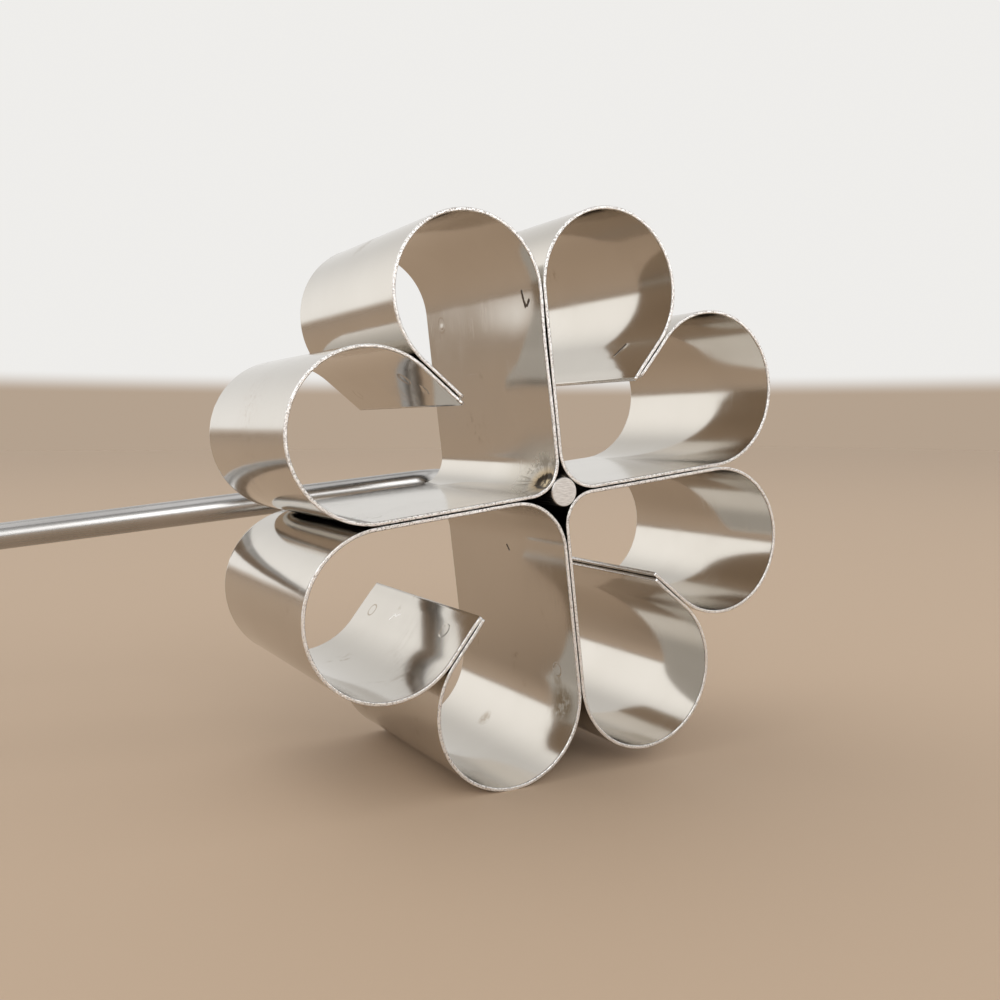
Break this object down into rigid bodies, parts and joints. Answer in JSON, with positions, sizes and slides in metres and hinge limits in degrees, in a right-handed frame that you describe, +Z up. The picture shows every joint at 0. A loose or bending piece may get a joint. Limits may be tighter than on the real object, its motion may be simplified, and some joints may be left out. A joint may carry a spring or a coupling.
{
  "type": "fritter iron",
  "caption": "Flower-shaped fritter iron: heart-shaped bent steel strips welded round a solid rod that bends over behind the head into a long handle with a hanging hook.",
  "frame": {"origin": "point on the head's front face where the four straight walls would cross, beside the middle of the sawn rod end", "axes": "+Z up with the iron lying on a table, +Y level along the head's axis from the front face towards the handle, and the handle runs towards -X"},
  "size_m": [0.5168, 0.2068, 0.116],
  "materials": {
    "strip_steel": "polished stainless sheet with fine scratches",
    "rod_steel": "drawn stainless rod, satin",
    "weld_steel": "heat-tinted weld"
  },
  "bodies": {
    "root": {"upper_left_heart": "strip_steel", "upper_right_heart": "strip_steel", "lower_right_heart": "strip_steel", "lower_left_heart": "strip_steel", "handle_rod": "rod_steel", "wall_spot_welds": "weld_steel", "tail_spot_welds": "weld_steel", "rod_welds": "weld_steel"}
  },
  "joints": []
}
